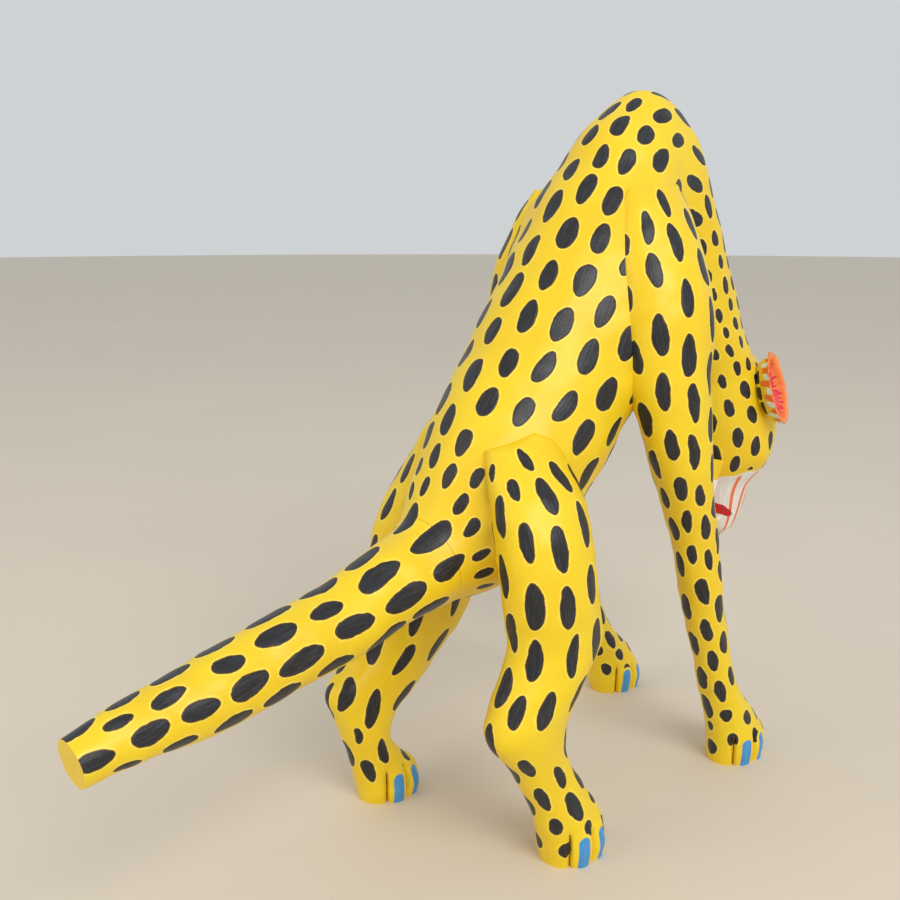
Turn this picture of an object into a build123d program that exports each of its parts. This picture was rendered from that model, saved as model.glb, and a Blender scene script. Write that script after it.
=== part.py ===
from build123d import *
from math import cos, degrees, hypot, radians, sin
import os

# A carved and painted wooden big cat figure that stands on four paws with its
# shoulders arched high, its head hanging and its tail stretched out behind.
# +Z is up, the animal faces -Y and its right side is -X.  The origin is on the
# ground, in the middle of the figure's box.

# ---- driving dimensions (mm) ----
hip_y = 33.9              # the hind paws' middle line lies this far behind the origin
seat_x = 44.0             # flat seats of the legs, out from the middle plane
slide_gap = 0.3           # air between a removable piece and what it sits on
peg_clearance = 0.1       # added to a socket's radius so that its peg slides
dowel_radius = 6.0
dowel_length = 36.0
nail_radius = 1.3
nail_length = 42.0
nail_head_radius = 2.6
nail_head_height = 1.2
tail_peg_radius = 9.0
tail_peg_length = 70.0
ear_peg_radius = 3.0
ear_peg_length = 24.0
toe_groove = 2.4          # width of the saw cuts between the toes
toe_groove_height = 26.0
toe_groove_depth = 16.0   # length of each cut, half of it in the wood
toe_fan = 50.0            # degrees from one saw cut to the next
dowel_lift = 16.0         # each leg's two dowels stand this far above and below its seat
nail_ahead = 15.0         # and its two nails this far ahead of and behind the dowels
nail_behind = 13.0
nail_outer_share = 0.75   # share of a nail's length that is in the leg
tail_peg_trunk_share = 0.4
tail_hole_radius = 1.0    # two nail holes left in the tail's sawn tip
tail_hole_depth = 8.0
tail_hole_lift = 4.5      # from the tip's middle to each hole
jaw_dowel_radius = 3.0
neck_dowel_x = 18.0       # the neck's two dowels stand either side of the middle
hollow_lift = 0.6         # the ear's hollow starts this far above the rim, to cut it open
ear_peg_inset = 2.0       # from the cup's hollow to the end of its peg
ear_socket_clear = 10.0   # the ear's socket is bored on past the peg's end by this much
socket_spare = 1.0        # a socket is this much deeper than its peg

# ---- forms ----
# Each form is a row of upright elliptical cuts through the wood.  A cut gives the
# middle plane's x, its front or upper edge (distance ahead of the hips, height),
# its rear or lower edge (the same) and its half width across the animal.
trunk_cuts = [
    (0, -60, 274, -42, 204, 37),
    (0, -42, 306, 2, 204, 50),
    (0, -22, 342, 54, 226, 63),
    (0, 2, 374, 108, 272, 69),
    (0, 26, 406, 140, 318, 71),
    (0, 54, 446, 166, 360, 70),
    (0, 84, 490, 190, 402, 67),
    (0, 116, 534, 204, 430, 61),
    (0, 154, 576, 211, 439, 52),
    (0, 198, 600, 215, 440, 46),
    (0, 244, 582, 219, 438, 45),
]
neck_cuts = [
    (0, 244, 582, 219, 438, 45),
    (0, 276, 530, 222, 428, 45),
    (0, 305, 474, 236, 404, 45),
    (0, 332, 422, 258, 372, 44),
    (0, 358, 376, 280, 342, 45),
]
head_cuts = [
    (0, 358, 376, 280, 342, 45),
    (0, 374, 362, 283, 325, 47),
    (0, 391, 343, 288, 306, 50),
    (0, 405, 318, 294, 284, 52.5),
    (0, 409, 288, 301, 262, 50),
    (0, 400, 260, 309, 245, 41),
    (0, 386, 236, 318, 227, 31),
    (0, 374, 213, 327, 207, 25),
    (0, 364, 193, 333, 190, 19),
    (0, 356, 184, 339, 183, 11),
]
jaw_cuts = [
    (0, 330, 262, 292, 270, 31),
    (0, 318, 238, 287, 248, 28),
    (0, 313, 215, 284, 224, 24),
    (0, 307, 197, 283, 203, 19),
    (0, 300, 184, 287, 187, 12),
]
tongue_cuts = [
    (0, 330, 244, 308, 240, 9),
    (0, 324, 224, 308, 222, 10),
    (0, 317, 206, 302, 204, 9),
    (0, 312, 196, 300, 194, 5),
]
tail_cuts = [
    (0, -60, 274, -42, 204, 37),
    (0, -95, 256, -82, 197, 33),
    (0, -150, 239, -139, 183, 29),
    (0, -240, 218, -230, 167, 26),
    (0, -305, 203, -297, 163, 21),
    (0, -343, 192, -337, 160, 16.5),
]
front_leg_cuts = [
    (48, 174, 516, 132, 512, 10),
    (58, 182, 498, 118, 493, 18),
    (69, 184, 470, 108, 463, 25),
    (79, 182, 436, 103, 428, 28),
    (84, 180, 400, 103, 392, 28),
    (86, 178, 365, 106, 358, 27),
    (88, 180, 325, 116, 318, 25),
    (88, 184, 288, 132, 282, 23),
    (88, 198, 235, 156, 228, 20),
    (88, 222, 150, 184, 144, 17),
    (88, 246, 82, 212, 74, 17.5),
    (88, 278, 46, 226, 32, 21),
    (88, 294, 20, 230, 12, 24),
    (88, 292, 0, 232, 0, 22),
]
hind_leg_cuts = [
    (46, 12, 334, -22, 324, 10),
    (60, 22, 320, -36, 308, 21),
    (74, 29, 298, -44, 286, 28),
    (82, 32, 264, -48, 256, 32),
    (86, 36, 217, -47, 217, 31),
    (86, 46, 184, -42, 182, 29),
    (86, 26, 152, -60, 146, 27),
    (86, 10, 124, -66, 121, 23),
    (86, 12, 90, -42, 90, 19),
    (87, 30, 60, -20, 52, 19),
    (87, 48, 38, -10, 26, 22),
    (87, 54, 16, -6, 10, 24),
    (87, 52, 0, -4, 0, 22),
]
# A leg's x is its distance out from the middle.  The left front leg is the right one
# with its paw a step further ahead; the step fades to nothing at the shoulder.
left_front_step = 44.0
shoulder_height = 500.0
left_hind_leg_cuts = [
    (46, 42, 338, 8, 328, 10),
    (60, 48, 318, 0, 306, 20),
    (74, 54, 290, -10, 276, 28),
    (82, 60, 248, -26, 240, 31),
    (86, 80, 198, -38, 182, 31),
    (86, 76, 160, -58, 136, 29),
    (86, 38, 120, -82, 110, 26),
    (86, -6, 86, -74, 85, 22),
    (86, -20, 60, -64, 58, 19),
    (87, -10, 42, -56, 36, 19),
    (87, 6, 26, -50, 16, 22),
    (87, 11, 12, -48, 8, 24),
    (87, 9, 0, -46, 0, 22),
]

# ---- ears: a shallow carved cup whose mouth looks outward ----
ear_centre = (62.0, 349.0, 335.0)       # out from the middle, ahead, height of the rim
ear_mouth = (0.93, 0.20, 0.26)          # out, ahead, up
ear_rim = (34.0, 21.0)                  # half height and half width of the rim
ear_depth = 22.0
ear_wall = 5.0
ear_bowl = ((0.0, 1.0), (0.3, 0.94), (0.65, 0.76), (1.0, 0.34))    # share of the depth, size


def at(x, ahead, height):
    """A point of the figure from its side view measures."""
    return Vector(x, hip_y - ahead, height)


def carve(cuts):
    """A solid through a row of elliptical cuts."""
    faces = []
    for x, front, front_z, rear, rear_z, half_width in cuts:
        upper = at(x, front, front_z)
        lower = at(x, rear, rear_z)
        across = Vector(1, 0, 0)
        up = (upper - lower).normalized()
        plane = Plane((upper + lower) * 0.5, x_dir=up, z_dir=up.cross(across))
        faces.append(plane * Ellipse((upper - lower).length / 2, half_width))
    return Solid(loft(faces).wrapped)


def rod(start, end, radius):
    """A round rod between two points."""
    axis = end - start
    return Plane(start, z_dir=axis) * Cylinder(
        radius, axis.length, align=(Align.CENTER, Align.CENTER, Align.MIN)
    )


def main_solid(shape):
    """The largest solid of a boolean's result."""
    return max(shape.solids(), key=lambda solid: solid.volume)


def write(name, solids):
    """One STEP file for one sub-part."""
    solids = list(solids)
    shape = solids[0] if len(solids) == 1 else Compound(children=solids)
    shape.label = name
    export_step(shape, "parts/" + name + ".step")


def on_side(cuts, side, step, joint_height):
    """A leg's cuts on one side of the figure (-1 right, 1 left), its paw a step ahead."""
    moved = []
    for x, front, front_z, rear, rear_z, half_width in cuts:
        height = (front_z + rear_z) / 2
        ahead = step * max(0.0, 1.0 - height / joint_height)
        moved.append((side * x, front + ahead, front_z, rear + ahead, rear_z, half_width))
    return moved


def toe_cuts(sole, turn):
    """Three saw cuts that part the four toes, fanned round the front of a paw that is
    turned by some degrees towards the figure's right."""
    x, front, _, rear, _, half_width = sole
    half_length = (front - rear) / 2
    cuts = []
    for place in (-1, 0, 1):
        heading = radians(turn + place * toe_fan)
        reach = 1 / hypot(sin(heading) / half_width, cos(heading) / half_length)
        out = x - reach * sin(heading)
        ahead = (front + rear) / 2 + reach * cos(heading)
        middle = at(out, ahead, toe_groove_height / 2)
        cut = Box(toe_groove, toe_groove_depth, toe_groove_height)
        cuts.append(Location(middle, Vector(0, 0, -degrees(heading))) * cut)
    return cuts


def with_toes(wood, cuts, turn):
    """A leg with the saw cuts that part its toes."""
    for cut in toe_cuts(cuts[-1], turn):
        wood = wood - cut
    return main_solid(wood)


def rods_across(places, inner_x, outer_x, radius, side):
    """Rods along X at (ahead, height) places on one side of the figure."""
    return [rod(at(side * inner_x, *p), at(side * outer_x, *p), radius) for p in places]


def nails_across(places, head_x, side):
    """Round-headed nails driven in from the outside, along X."""
    nails = []
    for place in places:
        shank = rod(at(side * (head_x - nail_length), *place), at(side * head_x, *place), nail_radius)
        head_end = at(side * (head_x + nail_head_height), *place)
        nails.append(shank + rod(at(side * head_x, *place), head_end, nail_head_radius))
    return nails


def ear_cup(side):
    """The ear's outer shell and the hollow in it, both along the mouth's axis."""
    out, ahead, up = ear_mouth
    mouth = Vector(side * out, -ahead, up).normalized()
    tall = (Vector(0, 0, 1) - mouth * mouth.Z).normalized()
    centre = at(side * ear_centre[0], ear_centre[1], ear_centre[2])
    half_height, half_width = ear_rim

    def bowl(depth, shrink, lift):
        faces = []
        for share, size in ear_bowl:
            plane = Plane(centre + mouth * (lift - depth * share), x_dir=tall, z_dir=mouth)
            faces.append(plane * Ellipse((half_height - shrink) * size, (half_width - shrink) * size))
        return Solid(loft(faces).wrapped)

    outer = bowl(ear_depth, 0.0, 0.0)
    hollow = bowl(ear_depth - ear_wall, ear_wall, hollow_lift)
    return outer, hollow, centre, mouth


def grown(cuts, margin):
    """The same form with every cut larger all round."""
    larger = []
    for x, front, front_z, rear, rear_z, half_width in cuts:
        upper = Vector(0, front, front_z)
        lower = Vector(0, rear, rear_z)
        out = (upper - lower).normalized() * margin
        upper = upper + out
        lower = lower - out
        larger.append((x, upper.Y, upper.Z, lower.Y, lower.Z, half_width + margin))
    return larger


# ---- trunk, legs and their fasteners ----
os.makedirs("parts", exist_ok=True)
trunk = main_solid(carve(trunk_cuts) + carve(neck_cuts))
core = Location(Vector(0, hip_y - 150, 300)) * Box(2 * seat_x, 900, 900)
leg_cuts = {
    "front_leg_right": on_side(front_leg_cuts, -1, 0.0, shoulder_height),
    "front_leg_left": on_side(front_leg_cuts, 1, left_front_step, shoulder_height),
    "hind_leg_right": on_side(hind_leg_cuts, -1, 0.0, shoulder_height),
    "hind_leg_left": on_side(left_hind_leg_cuts, 1, 0.0, shoulder_height),
}
# Degrees that each paw is turned towards the figure's right.
paw_turns = {"front_leg_right": 48, "front_leg_left": 35, "hind_leg_right": 40, "hind_leg_left": 30}
legs = {}
for name in leg_cuts:
    wood = carve(leg_cuts[name])
    trunk = main_solid(trunk - main_solid(wood - core))
    legs[name] = with_toes(main_solid(wood - trunk), leg_cuts[name], paw_turns[name])

# The middle of each leg's seat: side, distance ahead, height.  Two dowels stand one
# above the other in it, and two nails beside them.
seats = {
    "shoulder_right": ("front_leg_right", -1, 141, 435),
    "shoulder_left": ("front_leg_left", 1, 145, 435),
    "hip_right": ("hind_leg_right", -1, 0, 277),
    "hip_left": ("hind_leg_left", 1, 21, 275),
}
for joint, (leg_name, side, ahead, height) in seats.items():
    dowel_places = [(ahead, height + dowel_lift), (ahead, height - dowel_lift)]
    nail_places = [(ahead + nail_ahead, height), (ahead - nail_behind, height)]
    inner_x = seat_x - dowel_length / 2
    outer_x = seat_x + dowel_length / 2
    dowels = rods_across(dowel_places, inner_x, outer_x, dowel_radius, side)
    nails = nails_across(nail_places, seat_x + nail_length * nail_outer_share, side)
    for pin in dowels + nails:
        legs[leg_name] = main_solid(legs[leg_name] - pin)
        trunk = main_solid(trunk - pin)
    place, side_name = joint.split("_")
    write(place + "_dowels_" + side_name, dowels)
    write(place + "_nails_" + side_name, nails)
for name in legs:
    write(name, [legs[name]])

# ---- tail: a peg fixed in its root slides into the rump ----
root = tail_cuts[0]
root_upper = at(0, root[1], root[2])
root_lower = at(0, root[3], root[4])
root_centre = (root_upper + root_lower) * 0.5
tail_axis = Vector(1, 0, 0).cross(root_lower - root_upper).normalized()
tail = carve(tail_cuts).moved(Location(tail_axis * slide_gap))
peg_inner = root_centre - tail_axis * (tail_peg_length * tail_peg_trunk_share)
peg_outer = peg_inner + tail_axis * tail_peg_length
tail_peg = rod(peg_inner, peg_outer, tail_peg_radius)
socket = rod(peg_inner - tail_axis * socket_spare, peg_outer, tail_peg_radius + peg_clearance)
trunk = main_solid(trunk - socket)
tip = tail_cuts[-1]
tip_centre = (at(0, tip[1], tip[2]) + at(0, tip[3], tip[4])) * 0.5
tail = main_solid(tail - tail_peg)
for lift in (-tail_hole_lift, tail_hole_lift):
    hole_mouth = tip_centre + Vector(0, 0, lift) + tail_axis * socket_spare
    hole_end = hole_mouth - tail_axis * (tail_hole_depth + socket_spare)
    tail = main_solid(tail - rod(hole_end, hole_mouth, tail_hole_radius))
write("tail", [tail])
write("tail_peg", [tail_peg])

# ---- head, jaw, tongue and fangs ----
head = carve(head_cuts)
jaw = main_solid(carve(jaw_cuts) - head)
tongue = main_solid(carve(tongue_cuts) - head - jaw)


def fangs(root, tip_point, x, root_radius):
    """A pair of whittled fangs, each a cone from its socket to its tip."""
    pair = []
    for side in (-1, 1):
        start = at(side * x, *root)
        axis = at(side * x, *tip_point) - start
        cone = Cone(root_radius, 0.6, axis.length, align=(Align.CENTER, Align.CENTER, Align.MIN))
        pair.append(Plane(start, z_dir=axis) * cone)
    return pair


upper_fangs = fangs((344, 205), (316, 197), 14, 3.0)
lower_fangs = fangs((299, 193), (324, 189), 8, 2.6)
jaw_dowel = rod(at(0, 300, 232), at(0, 318, 264), jaw_dowel_radius)
neck = head_cuts[0]
neck_centre = (at(0, neck[1], neck[2]) + at(0, neck[3], neck[4])) * 0.5
neck_axis = Vector(1, 0, 0).cross(at(0, neck[3], neck[4]) - at(0, neck[1], neck[2])).normalized()
neck_dowels = []
for x in (-neck_dowel_x, neck_dowel_x):
    middle = neck_centre + Vector(x, 0, 0)
    half = neck_axis * (dowel_length / 2)
    neck_dowels.append(rod(middle - half, middle + half, dowel_radius))
for pin in upper_fangs + [jaw_dowel] + neck_dowels:
    head = main_solid(head - pin)
for pin in lower_fangs + [jaw_dowel]:
    jaw = main_solid(jaw - pin)
for pin in neck_dowels:
    trunk = main_solid(trunk - pin)

# ---- ears: each has a peg that slides into the side of the head ----
for side, side_name in ((-1, "right"), (1, "left")):
    outer, hollow, centre, mouth = ear_cup(side)
    ear = main_solid(outer - hollow - carve(grown(head_cuts, slide_gap)) - carve(grown(neck_cuts, slide_gap)))
    peg_top = centre - mouth * (ear_depth - ear_wall - ear_peg_inset)
    ear_peg = rod(peg_top - mouth * ear_peg_length, peg_top, ear_peg_radius)
    ear = main_solid(ear - ear_peg)
    socket_end = peg_top - mouth * (ear_peg_length + socket_spare)
    socket = rod(socket_end, peg_top + mouth * ear_socket_clear, ear_peg_radius + peg_clearance)
    head = main_solid(head - socket)
    write("ear_" + side_name, [ear])
    write("ear_peg_" + side_name, [ear_peg])

write("trunk", [trunk])
write("head", [head])
write("lower_jaw", [jaw])
write("jaw_dowel", [jaw_dowel])
write("neck_dowels", neck_dowels)
write("tongue", [tongue])
write("upper_fangs", upper_fangs)
write("lower_fangs", lower_fangs)
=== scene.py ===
import math
import bpy
import numpy as np
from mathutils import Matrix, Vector


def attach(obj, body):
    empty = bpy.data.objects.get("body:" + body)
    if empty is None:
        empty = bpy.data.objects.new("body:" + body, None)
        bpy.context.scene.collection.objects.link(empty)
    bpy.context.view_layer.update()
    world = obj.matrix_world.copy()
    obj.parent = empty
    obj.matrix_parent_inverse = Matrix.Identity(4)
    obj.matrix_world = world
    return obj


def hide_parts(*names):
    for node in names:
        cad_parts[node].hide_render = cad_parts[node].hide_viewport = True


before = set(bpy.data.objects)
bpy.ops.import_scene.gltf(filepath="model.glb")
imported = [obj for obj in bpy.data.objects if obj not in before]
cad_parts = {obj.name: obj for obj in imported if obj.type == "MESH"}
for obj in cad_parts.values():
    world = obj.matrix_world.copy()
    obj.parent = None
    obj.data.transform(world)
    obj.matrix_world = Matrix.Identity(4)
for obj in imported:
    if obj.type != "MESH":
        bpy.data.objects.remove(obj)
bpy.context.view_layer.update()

mm = 0.001
hipY = 33.9            # the hind paws' line lies this far behind the origin, in mm
across = np.array([1.0, 0.0, 0.0])

# Each row is an upright elliptical cut through the wood, in mm: x of its middle, its
# upper or front edge (distance ahead of the hips, height), its lower or rear edge
# (the same) and its half width.
bodyCuts = [
    (0, -343, 192, -337, 160, 16.5),
    (0, -305, 203, -297, 163, 21),
    (0, -240, 218, -230, 167, 26),
    (0, -150, 239, -139, 183, 29),
    (0, -95, 256, -82, 197, 33),
    (0, -60, 274, -42, 204, 37),
    (0, -42, 306, 2, 204, 50),
    (0, -22, 342, 54, 226, 63),
    (0, 2, 374, 108, 272, 69),
    (0, 26, 406, 140, 318, 71),
    (0, 54, 446, 166, 360, 70),
    (0, 84, 490, 190, 402, 67),
    (0, 116, 534, 204, 430, 61),
    (0, 154, 576, 211, 439, 52),
    (0, 198, 600, 215, 440, 46),
    (0, 244, 582, 219, 438, 45),
    (0, 276, 530, 222, 428, 45),
    (0, 305, 474, 236, 404, 45),
    (0, 332, 422, 258, 372, 44),
    (0, 358, 376, 280, 342, 45),
    (0, 374, 362, 283, 325, 47),
    (0, 391, 343, 288, 306, 50),
    (0, 405, 318, 294, 284, 52.5),
    (0, 409, 288, 301, 262, 50),
    (0, 400, 260, 309, 245, 41),
    (0, 386, 236, 318, 227, 31),
    (0, 374, 213, 327, 207, 25),
    (0, 364, 193, 333, 190, 19),
    (0, 356, 184, 339, 183, 11),
]
tailRange = (0.0, 5.0)
trunkRange = (5.0, 19.0)
headRange = (19.0, 28.0)
jawCuts = [
    (0, 330, 262, 292, 270, 31),
    (0, 318, 238, 287, 248, 28),
    (0, 313, 215, 284, 224, 24),
    (0, 307, 197, 283, 203, 19),
    (0, 300, 184, 287, 187, 12),
]
tongueCuts = [
    (0, 330, 244, 308, 240, 9),
    (0, 324, 224, 308, 222, 10),
    (0, 317, 206, 302, 204, 9),
    (0, 312, 196, 300, 194, 5),
]
frontLegCuts = [
    (48, 174, 516, 132, 512, 10),
    (58, 182, 498, 118, 493, 18),
    (69, 184, 470, 108, 463, 25),
    (79, 182, 436, 103, 428, 28),
    (84, 180, 400, 103, 392, 28),
    (86, 178, 365, 106, 358, 27),
    (88, 180, 325, 116, 318, 25),
    (88, 184, 288, 132, 282, 23),
    (88, 198, 235, 156, 228, 20),
    (88, 222, 150, 184, 144, 17),
    (88, 246, 82, 212, 74, 17.5),
    (88, 278, 46, 226, 32, 21),
    (88, 294, 20, 230, 12, 24),
    (88, 292, 0, 232, 0, 22),
]
rightHindLegCuts = [
    (46, 12, 334, -22, 324, 10),
    (60, 22, 320, -36, 308, 21),
    (74, 29, 298, -44, 286, 28),
    (82, 32, 264, -48, 256, 32),
    (86, 36, 217, -47, 217, 31),
    (86, 46, 184, -42, 182, 29),
    (86, 26, 152, -60, 146, 27),
    (86, 10, 124, -66, 121, 23),
    (86, 12, 90, -42, 90, 19),
    (87, 30, 60, -20, 52, 19),
    (87, 48, 38, -10, 26, 22),
    (87, 54, 16, -6, 10, 24),
    (87, 52, 0, -4, 0, 22),
]
leftHindLegCuts = [
    (46, 42, 338, 8, 328, 10),
    (60, 48, 318, 0, 306, 20),
    (74, 54, 290, -10, 276, 28),
    (82, 60, 248, -26, 240, 31),
    (86, 80, 198, -38, 182, 31),
    (86, 76, 160, -58, 136, 29),
    (86, 38, 120, -82, 110, 26),
    (86, -6, 86, -74, 85, 22),
    (86, -20, 60, -64, 58, 19),
    (87, -10, 42, -56, 36, 19),
    (87, 6, 26, -50, 16, 22),
    (87, 11, 12, -48, 8, 24),
    (87, 9, 0, -46, 0, 22),
]


# A leg's cuts on one side (-1 right, 1 left); its paw is a step ahead, and the step
# fades to nothing at the joint.
def onSide(cuts, side, step=0.0, jointHeight=500.0):
    moved = np.array(cuts, float)
    height = (moved[:, 2] + moved[:, 4]) / 2
    ahead = step * np.maximum(0.0, 1.0 - height / jointHeight)
    moved[:, 1] += ahead
    moved[:, 3] += ahead
    moved[:, 0] *= side
    return moved


# A smooth cubic through the rows: t counts rows, and each span blends its four nearest.
def rowAt(cuts, t):
    k = np.asarray(cuts, float)
    i = np.clip(np.floor(t).astype(int), 0, len(k) - 2)
    f = (t - i)[:, None]
    padded = np.vstack([2 * k[0] - k[1], k, 2 * k[-1] - k[-2]])
    a, b, c, d = padded[i], padded[i + 1], padded[i + 2], padded[i + 3]
    cubic = (3 * (b - c) + d - a) * f**3 + (2 * a - 5 * b + 4 * c - d) * f**2
    return (cubic + (c - a) * f + 2 * b) / 2


# Middle, upward half vector and half width of the cuts at t.
def ringsAt(cuts, t):
    row = rowAt(cuts, t)
    zero = np.zeros(len(row))
    upper = np.stack([zero, hipY - row[:, 1], row[:, 2]], 1)
    lower = np.stack([zero, hipY - row[:, 3], row[:, 4]], 1)
    middle = (upper + lower) / 2
    middle[:, 0] = row[:, 0]
    return middle, (upper - lower) / 2, row[:, 5]


# A point of the skin: middle + cos(angle) up + sin(angle) half width across.
def skinAt(cuts, t, angle):
    middle, up, half = ringsAt(cuts, t)
    upward = np.cos(angle)[..., None] * up[:, None]
    sideways = np.sin(angle)[..., None] * half[:, None, None] * across
    return middle[:, None] + (upward + sideways)


# Ring places between two rows, evenly spaced along the longer of the two edges.
def evenRings(cuts, span, step, samples=800):
    t = np.linspace(span[0], span[1], samples)
    middle, up, half = ringsAt(cuts, t)
    edges = [np.linalg.norm(np.diff(middle + s * up, axis=0), axis=1) for s in (-1, 1)]
    travelled = np.concatenate([[0], np.cumsum(np.maximum(*edges))])
    count = int(travelled[-1] / step) + 1
    return np.interp(np.linspace(0, travelled[-1], count), travelled, t)


# Angles once round a ring, from straight up.
def fullTurn(sides):
    return np.linspace(0, 2 * np.pi, sides, endpoint=False)


# The same vectors, one long.
def unit(v):
    return v / np.maximum(np.linalg.norm(v, axis=-1, keepdims=True), 1e-9)


# Outward normals of a closed ring grid, from its two running directions.
def gridNormals(grid):
    along = np.gradient(grid, axis=0)
    around = (np.roll(grid, -1, axis=1) - np.roll(grid, 1, axis=1)) / 2
    normal = unit(np.cross(along, around))
    outward = np.sign(np.sum(normal * (grid - grid.mean(axis=1, keepdims=True)), axis=-1))
    return normal * np.where(outward.mean() < 0, -1.0, 1.0)


# How far points are outside a form (negative inside): the nearest of many cuts,
# by the distance off its plane and the distance past its ellipse in it.
def distanceTo(points, cuts, span, count=150, batch=5000):
    t = np.linspace(span[0], span[1], count)
    middle, up, half = ringsAt(cuts, t)
    tall = np.linalg.norm(up, axis=1)
    upward = up / tall[:, None]
    along = np.cross(upward, across)
    slack = np.linalg.norm(np.gradient(middle, axis=0), axis=1) / 2
    result = []
    for part in np.array_split(points, max(1, len(points) // batch)):
        rel = part[:, None] - middle
        a = np.einsum("pkc,kc->pk", rel, upward)
        side = rel[..., 0]
        off = np.maximum(np.abs(np.einsum("pkc,kc->pk", rel, along)) - slack, 0)
        reach = np.hypot(a / tall, side / half)
        past = np.hypot(a, side) * (1 - 1 / np.maximum(reach, 1e-6))
        score = np.hypot(off, np.maximum(past, 0))
        best = np.argmin(score, axis=1)
        pick = np.arange(len(part))
        result.append(score[pick, best] + np.minimum(past[pick, best], 0))
    return np.concatenate(result)


# Swells a skin beside a neighbour, so that the two meet in a soft hollow: it rises by
# a quarter of k times (1 - distance / k) squared.
def swellTo(grid, normals, cuts, span, k):
    nearest = np.abs(distanceTo(grid.reshape(-1, 3), cuts, span))
    rise = k / 4 * np.clip(1 - nearest / k, 0, 1) ** 2
    return grid + normals * rise.reshape(grid.shape[:2])[..., None]


# Soft uneven carving: a sum of sine waves in random directions.
def wobble(points, size, seed, waves=9):
    own = np.random.default_rng(seed)
    total = np.zeros(points.shape[:-1])
    for _ in range(waves):
        direction = unit(own.normal(size=3)) * (2 * np.pi / size) * own.uniform(0.6, 1.5)
        total += np.sin(points @ direction + own.uniform(0, 2 * np.pi))
    return total / np.sqrt(waves)


# Such waves added up, each a size, a seed, a count and a height.
def uneven(points, layers):
    return sum(wobble(points, size, seed, count) * high for size, seed, count, high in layers)


# How unevenly a hand sets out and paints spots: shares of the regular layout, but slip
# and the two seam measures are in mm.
handLook = {
    "start": 4, "end": 4, "power": 1, "firstTurn": 0.25, "stagger": 0.12, "slip": 2.5,
    "swing": 0.09, "size": (0.9, 1.08), "pace": (0.93, 1.07), "long": (0.88, 1.08),
    "wide": (0.9, 1.12), "egg": 0.2, "bend": 0.06, "seamGap": 4, "seamFade": 14,
    "smallest": 0.5, "nudge": 0.03, "samples": 500,
}


# Spots stand in lengthwise columns round a form, evenly along each column's own line.
# They shrink where the form narrows or a neighbour's seam comes near.
def placeSpots(cuts, span, look, seams=()):
    look = {**handLook, **look}
    own = np.random.default_rng(look["seed"])
    t = np.linspace(span[0], span[1], look["samples"])
    _, up, half = ringsAt(cuts, t)
    girth = 2 * np.pi * np.sqrt((np.linalg.norm(up, axis=1) ** 2 + half**2) / 2)
    columns = look["columns"]
    at, angle, scale = [], [], []
    for column in range(columns):
        turn = 2 * np.pi * (column + look["firstTurn"]) / columns
        line = skinAt(cuts, t, np.array([turn]))[:, 0]
        run = np.concatenate([[0], np.cumsum(np.linalg.norm(np.diff(line, axis=0), axis=1))])
        shift = (column % 2) * 0.5 + own.uniform(-look["stagger"], look["stagger"])
        s = look["pitch"] * shift + look["start"]
        while s < run[-1] - look["end"]:
            size = (np.interp(s, run, girth) / columns / look["gap"]) ** look["power"]
            size = np.clip(size, look["least"], look["most"])
            if s > 0:
                slip = own.uniform(-look["slip"], look["slip"]) * size
                at.append(np.interp(s + slip, run, t))
                swing = own.uniform(-look["swing"], look["swing"])
                angle.append(turn + 2 * np.pi * swing / columns)
                scale.append(size * own.uniform(*look["size"]))
            s += look["pitch"] * size * own.uniform(*look["pace"])
    at, angle, scale = np.array(at), np.array(angle), np.array(scale)

    # the skin's point and its two directions at each spot
    def point(tt, aa):
        m, u, h = ringsAt(cuts, tt)
        return m + np.cos(aa)[:, None] * u + (np.sin(aa) * h)[:, None] * across

    middlePoint = point(at, angle)
    nudge = look["nudge"]
    lengthways = unit(point(at + nudge, angle) - point(at - nudge, angle))
    sideways = point(at, angle + nudge) - point(at, angle - nudge)
    sideways = unit(sideways - np.sum(sideways * lengthways, 1)[:, None] * lengthways)
    for seamCuts, seamSpan in seams:
        room = distanceTo(middlePoint, seamCuts, seamSpan)
        scale = scale * np.clip((room + look["seamGap"]) / look["seamFade"], 0, 1)
    keep = scale > look["smallest"]
    count = len(scale)
    tilt = own.normal(0, look["tilt"], count)[:, None]
    spots = {
        "at": middlePoint,
        "long": np.cos(tilt) * lengthways + np.sin(tilt) * sideways,
        "side": np.cos(tilt) * sideways - np.sin(tilt) * lengthways,
        "halfLong": look["length"] / 2 * scale * own.uniform(*look["long"], count),
        "halfSide": look["width"] / 2 * scale * own.uniform(*look["wide"], count),
        "egg": own.uniform(-look["egg"], look["egg"], count),
        "bend": own.normal(0, look["bend"], count), "tone": own.uniform(0, 1, count),
    }
    return {key: value[keep] for key, value in spots.items()}


# A spot that comes too near an earlier one shrinks, and goes if it would have to shrink
# a lot: nearness is their distance over the sum of their half sizes and a gap. Spots on
# two sides of a thin form are apart by their depth.
def prune(spots, gap, depth=25, tooNear=0.72, floor=0.45):
    kept = []
    for k in range(len(spots["tone"])):
        old = {key: value[kept] for key, value in spots.items()}
        rel = spots["at"][k] - old["at"]
        u = np.abs(np.sum(rel * old["long"], axis=-1))
        v = np.abs(np.sum(rel * old["side"], axis=-1))
        off = np.sqrt(np.maximum(np.sum(rel**2, axis=-1) - u**2 - v**2, 0))
        reachLong = old["halfLong"] + spots["halfLong"][k] + gap
        reachSide = old["halfSide"] + spots["halfSide"][k] + gap
        nearness = np.hypot(np.hypot(u / reachLong, v / reachSide), off / depth)
        least = nearness.min() if kept else np.inf
        if least > tooNear:
            shrink = min(1.0, (least - floor) / (1 - floor))
            spots["halfLong"][k] *= shrink
            spots["halfSide"][k] *= shrink
            kept.append(k)
    return {key: value[kept] for key, value in spots.items()}


# Several groups of spots as one.
def joinSpots(*groups):
    return {key: np.concatenate([g[key] for g in groups]) for key in groups[0]}


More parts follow.
